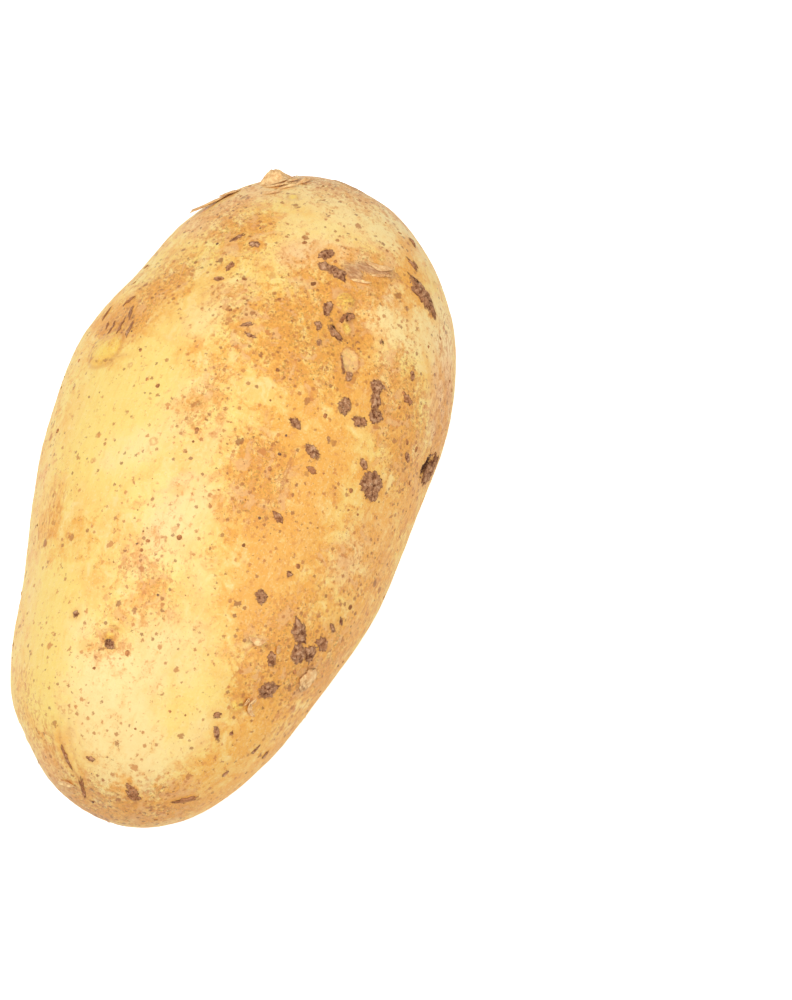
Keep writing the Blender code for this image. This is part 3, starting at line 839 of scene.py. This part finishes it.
    # scab: signed distance in mm, broken by noise at its edge
    scabEdge = plus(tree, attribute(tree, "scab"), ragged)
    scabTone = attribute(tree, "scabTone")
    crumb = useGroup(tree, crust, Vector=inMm, Size=0.5)
    cover(ease(tree, scabEdge, -1.2, 0.1, 0.0, 0.45), look["amber"])
    scabColour = tint(tree, crumb["Value"], look["scabDark"], look["scabLight"])
    scabColour = tint(tree, ease(tree, scabTone, 0.3, 0.9), scabColour, look["scabRust"])
    solid = ease(tree, scabTone, 0.3, 0.9, 0.0, 0.3)
    scabMask = ease(tree, calc(tree, "SUBTRACT", scabEdge, solid), -0.12, 0.16)
    scabMask = times(tree, scabMask, ease(tree, scabTone, 0.1, 0.9, 0.96, 0.6))
    cover(scabMask, scabColour)

    # painted shade: the troughs of the skin folds are darkened with rust colour
    foldTroughShade = times(tree, attribute(tree, "fold"), ease(tree, fine, 0.3, 0.6))
    cover(times(tree, foldTroughShade, 0.55), look["scabRust"])

    corkEdge = plus(tree, attribute(tree, "cork"), ragged)
    corkMask = ease(tree, corkEdge, -0.5, 0.5, 0.0, 0.8)
    wrinkle = grain(tree, scaled(tree, inMm, (1.0, 0.4, 0.4)), 0.45, 3.0, 0.6, 3.0)
    corkColour = tint(tree, ease(tree, wrinkle, 0.4, 0.62), look["corkDark"], look["cork"])
    cover(corkMask, corkColour)

    peelEdge = plus(tree, attribute(tree, "peel"), times(tree, ragged, 0.8))
    peelRim = times(tree, ease(tree, peelEdge, -0.22, -0.02), ease(tree, peelEdge, 0.2, 0.02))
    # the rubbed patch is mottled by fine noise between pale peel and blush; the pale flecks are painted
    # glints on the bare skin
    bareAndGlints = tint(tree, ease(tree, fine, 0.42, 0.6), look["peel"], look["blush"])
    cover(ease(tree, peelEdge, -0.1, 0.3, 0.0, 0.5), bareAndGlints)
    cover(times(tree, peelRim, 0.6), look["scabRust"])

    budEdge = plus(tree, attribute(tree, "bud"), times(tree, ragged, 0.4))
    budRim = times(tree, ease(tree, budEdge, -0.8, -0.1), ease(tree, budEdge, 0.45, 0.0))
    cover(times(tree, budRim, 0.25), look["scabRust"])

    # painted shade: the pits are coloured near black, standing for the shade inside the holes
    pitEdge = plus(tree, attribute(tree, "pit"), times(tree, ragged, 0.6))
    cover(ease(tree, pitEdge, -0.15, 0.2), look["pitShade"])
    colour = vectorMath(tree, "SCALE", colour, scale=look["level"])
    tree.links.new(colour, shader.inputs["Base Color"])

    dry = calc(tree, "MAXIMUM", calc(tree, "MAXIMUM", scabMask, corkMask), times(tree, patch, 0.6))
    roughness = timesPlus(tree, fine, look["roughGrain"], look["roughness"])
    roughness = timesPlus(tree, dry, look["dryRoughness"], roughness)
    tree.links.new(roughness, shader.inputs["Roughness"])
    shader.inputs["Specular IOR Level"].default_value = look["specular"]

    height = times(tree, plus(tree, fine, times(tree, finest, 0.5)), look["grainHeight"])
    height = timesPlus(tree, streak, look["streakHeight"], height)
    height = timesPlus(tree, dots["Mask"], look["speckHeight"], height)
    height = plus(tree, height, times(tree, crumb["Height"], scabMask))
    height = plus(tree, height, times(tree, wrinkle, times(tree, corkMask, look["wrinkleHeight"])))
    tree.links.new(bump(tree, height), shader.inputs["Normal"])
    return material


skin.data.materials.clear()
skin.data.materials.append(skinMaterial())
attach(skin, "root")
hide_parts("potato")
print("skin finished")

# dry finishes for what lies on the skin
def dryMaterial(name, dark, light, size, gloss=0.8, relief=0.12):
    material, tree, shader, inMm = newMaterial(name)
    crumb = useGroup(tree, crust, Vector=inMm, Size=size)
    drift = grain(tree, inMm, 5.0, 2.0, 0.5, 8.0)
    value = timesPlus(tree, calc(tree, "SUBTRACT", drift, 0.5), 1.2, crumb["Value"], clamp=True)
    tree.links.new(tint(tree, value, dark, light), shader.inputs["Base Color"])
    shader.inputs["Roughness"].default_value = gloss
    shader.inputs["Specular IOR Level"].default_value = 0.25
    height = times(tree, crumb["Value"], relief)
    tree.links.new(bump(tree, height), shader.inputs["Normal"])
    return material


poreCork = dryMaterial("poreCork", shade(136, 86, 48), shade(212, 142, 84), 1.1)
drySoil = dryMaterial("drySoil", shade(104, 72, 54), shade(166, 124, 98), 0.3, 0.9)
paperSkin = dryMaterial("paperSkin", shade(214, 158, 100), shade(250, 214, 152), 0.9, 0.6, 0.05)
rootFibre = dryMaterial("rootFibre", shade(150, 104, 62), shade(226, 184, 126), 0.7)


# small copies of one shape over the skin, as thick as an attribute says
def scatterTree(name, shape):
    takes = [("Geometry", "NodeSocketGeometry", None), ("Where", "NodeSocketString", None),
             ("Per Square Metre", "NodeSocketFloat", 1.0), ("Gap", "NodeSocketFloat", 1.0),
             ("Smallest", "NodeSocketFloat", 0.1), ("Largest", "NodeSocketFloat", 0.5),
             ("Few Large", "NodeSocketFloat", 2.0), ("Height", "NodeSocketFloat", 0.3),
             ("Uneven", "NodeSocketFloat", 0.3), ("Seed", "NodeSocketInt", 1),
             ("Material", "NodeSocketMaterial", None)]
    tree, given, result = newGroup(name, "GeometryNodeTree", takes, [("Geometry", "NodeSocketGeometry")])
    amount = addNode(tree, "GeometryNodeInputNamedAttribute", {"Name": given["Where"]},
                     data_type="FLOAT").outputs[0]
    values = {"Mesh": given["Geometry"], "Distance Min": times(tree, given["Gap"], mm), "Seed": given["Seed"],
              "Density Max": given["Per Square Metre"], "Density Factor": amount}
    points = addNode(tree, "GeometryNodeDistributePointsOnFaces", values, distribute_method="POISSON").outputs

    def chance(low, high, step):
        seed = plus(tree, given["Seed"], step)
        values = {2: low, 3: high, 8: seed}
        return addNode(tree, "FunctionNodeRandomValue", values, data_type="FLOAT").outputs[1]

    angle = chance(0.0, 6.283, 1.0)
    spin = addNode(tree, "FunctionNodeAxisAngleToRotation", {"Axis": (0, 0, 1), "Angle": angle})
    turned = addNode(tree, "FunctionNodeRotateRotation", {0: points["Rotation"], 1: spin.outputs[0]},
                     rotation_space="LOCAL").outputs[0]
    share = calc(tree, "POWER", chance(0.0, 1.0, 2.0), given["Few Large"])
    spread = calc(tree, "SUBTRACT", given["Largest"], given["Smallest"])
    size = timesPlus(tree, share, spread, given["Smallest"])
    size = times(tree, size, 0.5 * mm)
    sizes = {0: times(tree, size, chance(0.7, 1.4, 3.0)), 1: size, 2: times(tree, size, given["Height"])}
    scale = addNode(tree, "ShaderNodeCombineXYZ", sizes).outputs[0]
    values = {"Points": points["Points"], "Instance": shape(tree), "Rotation": turned, "Scale": scale}
    copies = addNode(tree, "GeometryNodeInstanceOnPoints", values).outputs[0]
    real = addNode(tree, "GeometryNodeRealizeInstances", {"Geometry": copies}).outputs[0]
    where = vectorMath(tree, "SCALE", addNode(tree, "GeometryNodeInputPosition").outputs[0], scale=1 / mm)
    shake = addNode(tree, "ShaderNodeTexNoise", {"Vector": where, "Scale": 2.6, "Detail": 1.0})
    shake = vectorMath(tree, "SUBTRACT", shake.outputs["Color"], (0.5, 0.5, 0.5))
    shake = vectorMath(tree, "SCALE", shake, scale=times(tree, given["Uneven"], mm))
    moved = addNode(tree, "GeometryNodeSetPosition", {"Geometry": real, "Offset": shake}).outputs[0]
    smooth = addNode(tree, "GeometryNodeSetShadeSmooth", {"Geometry": moved}).outputs[0]
    finish = addNode(tree, "GeometryNodeSetMaterial", {"Geometry": smooth, "Material": given["Material"]})
    tree.links.new(finish.outputs[0], result["Geometry"])
    return tree


def button(tree):
    cells = {"Segments": 9, "Rings": 5, "Radius": 1.0}
    return addNode(tree, "GeometryNodeMeshUVSphere", cells).outputs["Mesh"]


def clod(tree):
    return addNode(tree, "GeometryNodeMeshIcoSphere", {"Radius": 1.0, "Subdivisions": 2}).outputs["Mesh"]


def hair(tree):
    bend = {"Resolution": 7, "Start": (0, 0, -0.2), "Middle": (0.2, 0.3, 2.2), "End": (3.2, 0.8, 1.2)}
    path = addNode(tree, "GeometryNodeCurveQuadraticBezier", bend).outputs[0]
    ring = addNode(tree, "GeometryNodeCurvePrimitiveCircle", {"Resolution": 4, "Radius": 0.11}).outputs[0]
    values = {"Curve": path, "Profile Curve": ring, "Fill Caps": True}
    return addNode(tree, "GeometryNodeCurveToMesh", values).outputs[0]


pores = {"Where": "poreShare", "Per Square Metre": 60000.0, "Gap": 1.25, "Smallest": 0.2, "Largest": 0.95,
         "Few Large": 3.2, "Height": 0.22, "Uneven": 0.3, "Seed": 11, "Material": poreCork}
soil = {"Where": "soilShare", "Per Square Metre": 900000.0, "Gap": 0.22, "Smallest": 0.12, "Largest": 0.5,
        "Few Large": 2.2, "Height": 0.7, "Uneven": 0.18, "Seed": 23, "Material": drySoil}
hairs = {"Where": "hairShare", "Per Square Metre": 60000.0, "Gap": 1.4, "Smallest": 0.4, "Largest": 1.1,
         "Few Large": 2.0, "Height": 1.0, "Uneven": 0.5, "Seed": 37, "Material": rootFibre}

scattered = (("lenticels", button, pores), ("soilCrumbs", clod, soil), ("rootHairs", hair, hairs))
for name, shape, settings in scattered:
    piece = newObject(name, skin.data.copy())
    runTree(piece, scatterTree(name + "Scatter", shape), settings)
    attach(piece, "root")
    print(name, len(piece.data.polygons), "faces")

# loose flakes of outer skin: place, length and width in mm, slant, lift and curl in mm, bend, ragged
flakes = {
    "shoulderStrip": (0.735, -54, 8.5, 2.0, 168, 1.2, 0.3, 0.0, 1.0),
    "shoulderChip": (0.79, -50, 4.2, 1.8, 165, 0.7, 0.2, 0.0, 1.2),
    "stemScaleA": (0.85, -30, 4.6, 1.2, -56, 0.5, 0.2, 0.1, 1.2),
    "stemScaleB": (0.88, -16, 3.0, 0.9, -30, 0.4, 0.2, 0.1, 1.2),
    "stemScaleC": (0.87, -24, 2.4, 1.0, -70, 0.4, 0.1, 0.0, 1.2),
    "stemScaleD": (0.835, -27, 4.4, 0.8, -72, 0.5, 0.2, 0.1, 1.3),
    "stemScaleE": (0.84, -20, 3.2, 0.7, -55, 0.5, 0.2, -0.1, 1.3),
    "stemScaleF": (0.80, -24, 3.6, 0.7, -66, 0.4, 0.1, 0.1, 1.3),
    "tailCurl": (0.64, 32, 3.6, 0.5, -62, 0.35, 0.1, 0.0, 0.8),
    "tailCurlLow": (0.59, 25, 3.4, 0.5, -75, 0.35, 0.1, 0.0, 0.8),
    "whiteCurl": (-0.625, 54, 3.6, 0.8, 46, 0.8, 0.3, -0.35, 0.4),
    "curlStub": (-0.61, 51, 1.8, 0.5, 5, 0.5, 0.2, 0.1, 0.6),
    "lumpCap": (-0.48, 69, 3.8, 2.6, 12, 0.5, 0.2, 0.0, 1.3),
    "haloTip": (-0.46, 48, 1.5, 0.8, 45, 0.4, 0.2, 0.0, 1.0),
    "lowCurled": (-0.47, 39, 2.8, 0.7, -79, 0.5, 0.3, 0.2, 0.8),
    "farTail": (0.66, 31, 5.0, 1.2, -75, 0.25, 0.1, 0.1, 1.2),
    "budScale": (-0.96, -30, 3.2, 1.2, 75, 0.5, 0.2, 0.1, 1.2),
    "underFlake": (0.02, 166, 4.6, 2.8, -30, 0.25, 0.1, 0.0, 1.0),
    "backFlake": (0.10, -106, 3.0, 1.6, 60, 0.5, 0.2, 0.0, 1.0),
    "rightFlake": (-0.20, 112, 3.4, 1.5, -30, 0.5, 0.2, 0.0, 1.0),
}


flakeShape = {
    "rings": 5, "sides": 26,
    "thickness": 0.09, "least": 0.03, "crinkle": 0.08,  # mm
}


def fillFan(build, rows):  # faces from the middle point out through the rings
    sides = len(rows[-1])
    for side in range(sides):
        after = (side + 1) % sides
        build.faces.new((rows[0][0], rows[1][side], rows[1][after]))
        for inner, outer in zip(rows[1:], rows[2:]):
            build.faces.new((inner[side], outer[side], outer[after], inner[after]))


def addFlake(build, surface, mark, number):
    along, turn, length, width, slant, lift, curl, bend, raggedness = mark
    place, outward, main, cross = spot(along, turn, slant)
    rings, sides = flakeShape["rings"], flakeShape["sides"]
    rows = []
    for ring in range(rings + 1):
        row = []
        for side in range(sides if ring else 1):
            angle = math.tau * side / sides
            tip = Vector((math.cos(angle), math.sin(angle), number * 3.7))
            edge = 1 + raggedness * (0.22 * noise.noise(tip * 1.7) + 0.14 * noise.noise(tip * 5.0))
            u = ring / rings * edge * tip.x
            v = ring / rings * edge * tip.y
            reach = u * length / 2
            flat = place + (main * reach + cross * (v * width / 2 + bend * reach ** 2)) * mm
            foot, normal = surface.find_nearest(flat)[:2]
            rise = 0.05 + lift * max(0.0, (u + 0.6) / 1.6) ** 1.6 + curl * v * v
            rise += flakeShape["crinkle"] * noise.noise(Vector((u * 3, v * 3, number)))
            rise = max(rise, flakeShape["least"]) * min(1.0, foot.z / (2 * mm))
            row.append(build.verts.new(foot + normal * (rise * mm)))
        rows.append(row)
    fillFan(build, rows)


def solidPiece(name, build, thickness, material):
    piece = newObject(name, newMesh(name, build))
    shell = piece.modifiers.new("shell", "SOLIDIFY")
    shell.thickness = thickness * mm
    shell.offset = 0
    makePlain(piece)
    piece.data.shade_smooth()
    piece.data.materials.clear()
    piece.data.materials.append(material)
    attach(piece, "root")


def makeFlakes():
    surface = BVHTree.FromObject(skin, bpy.context.evaluated_depsgraph_get())
    build = bmesh.new()
    for number, mark in enumerate(flakes.values()):
        addFlake(build, surface, mark, number)
    solidPiece("skinFlakes", build, flakeShape["thickness"], paperSkin)


makeFlakes()

# raised crusts on the darker scabs, finer than the skin's own faces
crustLook = {
    # plate is the crust's own colour; light and dark also paint highlight on its raised lumps and shade in
    # its cracks
    "dark": shade(118, 68, 38), "plate": shade(190, 134, 92), "light": shade(228, 178, 134),
    "rust": shade(204, 128, 70), "thickness": 0.55, "grain": 0.23,  # share of the scab's rise, mm
    "leastRise": 0.05, "ringStep": 0.22, "sideStep": 0.2,  # mm
}


def crustMaterial():
    material, tree, shader, inMm = newMaterial("scabCrust")
    look = crustLook
    crumb = useGroup(tree, crust, Vector=inMm, Size=0.35)
    blot = grain(tree, inMm, 1.1, 3.0, 0.6, 15.0)
    relief, rim, tone = attribute(tree, "relief"), attribute(tree, "rim"), attribute(tree, "tone")
    # painted highlight and shade: lighter where the crust lifts higher and its crumb stands up, darker in its
    # cracks, over the crust's own blots
    value = timesPlus(tree, crumb["Value"], 0.5, times(tree, relief, 0.7))
    value = plus(tree, value, timesPlus(tree, blot, 1.0, -0.5))
    colour = tint(tree, ease(tree, value, 0.12, 0.58), look["dark"], look["plate"])
    colour = tint(tree, ease(tree, value, 0.6, 1.05), colour, look["light"])
    colour = tint(tree, ease(tree, tone, 0.3, 0.9, 0.0, 0.7), colour, look["rust"])
    colour = tint(tree, ease(tree, rim, 0.34, 0.02, 0.0, 0.65), colour, look["dark"])
    tree.links.new(colour, shader.inputs["Base Color"])
    shader.inputs["Roughness"].default_value = 0.75
    shader.inputs["Specular IOR Level"].default_value = 0.25
    tree.links.new(bump(tree, times(tree, crumb["Height"], 0.9)), shader.inputs["Normal"])
    return material


def addCrust(build, surface, mark, number, layers):
    along, turn, length, width, slant, rise, tone = mark
    place, outward, main, cross = spot(along, turn, slant)
    rings = max(4, round(width / crustLook["ringStep"]))
    sides = max(18, round((length + width) * 1.57 / crustLook["sideStep"]))
    rows = []
    for ring in range(rings + 1):
        row = []
        for side in range(sides if ring else 1):
            angle = math.tau * side / sides
            tip = Vector((math.cos(angle), math.sin(angle) * 0.7, number * 5.3))
            edge = 0.98 + 0.50 * noise.noise(tip * 1.6) + 0.45 * noise.noise(tip * 3.7)
            edge += 0.40 * noise.noise(tip * 9.0)
            out = ring / rings
            u = out * edge * math.cos(angle) * length / 2
            v = out * edge * math.sin(angle) * width / 2
            foot, normal = surface.find_nearest(place + (main * u + cross * v) * mm)[:2]
            step = Vector((u * 1.1, v * 0.5, number)) if length > 3 * width else Vector((u, v, number))
            lump = 0.5 + 0.9 * noise.noise(step * 1.7) + 0.5 * noise.noise(step * 4.5)
            lift = (1 - out ** 4) * (crustLook["thickness"] * rise + crustLook["grain"] * lump)
            lift -= 0.04 * out ** 4  # the rim is sunk in the skin
            lift *= min(1.0, foot.z / (2 * mm))
            point = build.verts.new(foot + normal * (lift * mm))
            for layer, value in zip(layers, (lump, 1 - out, tone)):
                point[layer] = value
            row.append(point)
        rows.append(row)
    fillFan(build, rows)


def makeCrusts():
    surface = BVHTree.FromObject(skin, bpy.context.evaluated_depsgraph_get())
    build = bmesh.new()
    layers = [build.verts.layers.float.new(name) for name in ("relief", "rim", "tone")]
    for number, mark in enumerate(scabs.values()):
        if mark[5] > crustLook["leastRise"]:
            addCrust(build, surface, mark, number, layers)
    mesh = newMesh("scabCrusts", build)
    piece = newObject("scabCrusts", mesh)
    mesh.shade_smooth()
    mesh.materials.append(crustMaterial())
    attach(piece, "root")
    print("scab crusts laid on,", len(mesh.polygons), "faces")


makeCrusts()

# the stub where the tuber hung on its stolon
stub = {"along": 0.875, "turn": -36, "radius": 2.3, "height": 1.8, "ridges": 6, "lean": 0.1}
stubCells = {"rings": 9, "sides": 28}


def makeStub():
    place, outward, main, cross = spot(stub["along"], stub["turn"], 20)
    build = bmesh.new()
    rings, sides = stubCells["rings"], stubCells["sides"]
    rows = []
    for ring in range(rings):
        t = ring / (rings - 1)
        radius = stub["radius"] * (1 - 0.66 * t ** 1.8 + 0.5 * (1 - t) ** 4)
        row = []
        for side in range(sides):
            angle = math.tau * side / sides
            wave = 1 + 0.13 * math.sin(stub["ridges"] * angle + 2 * t) + 0.2 * noise.noise(
                Vector((math.cos(angle) * 2, math.sin(angle) * 2, t * 3)))
            rise = -0.5 + (stub["height"] + 0.5) * t + 0.35 * t * noise.noise(Vector((angle * 3, t * 2, 5)))
            offset = main * (radius * wave * math.cos(angle) + stub["lean"] * t * stub["height"])
            offset += cross * (radius * wave * math.sin(angle)) + outward * rise
            row.append(build.verts.new(place + offset * mm))
        rows.append(row)
    for low, high in zip(rows, rows[1:]):
        for side in range(sides):
            after = (side + 1) % sides
            build.faces.new((low[side], low[after], high[after], high[side]))
    build.faces.new(rows[-1])
    build.faces.new(rows[0][::-1])
    bmesh.ops.recalc_face_normals(build, faces=build.faces)
    mesh = newMesh("stolonStub", build)
    piece = newObject("stolonStub", mesh)
    mesh.shade_smooth()
    mesh.materials.append(paperSkin)
    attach(piece, "root")


makeStub()
print("flakes and stub laid on")
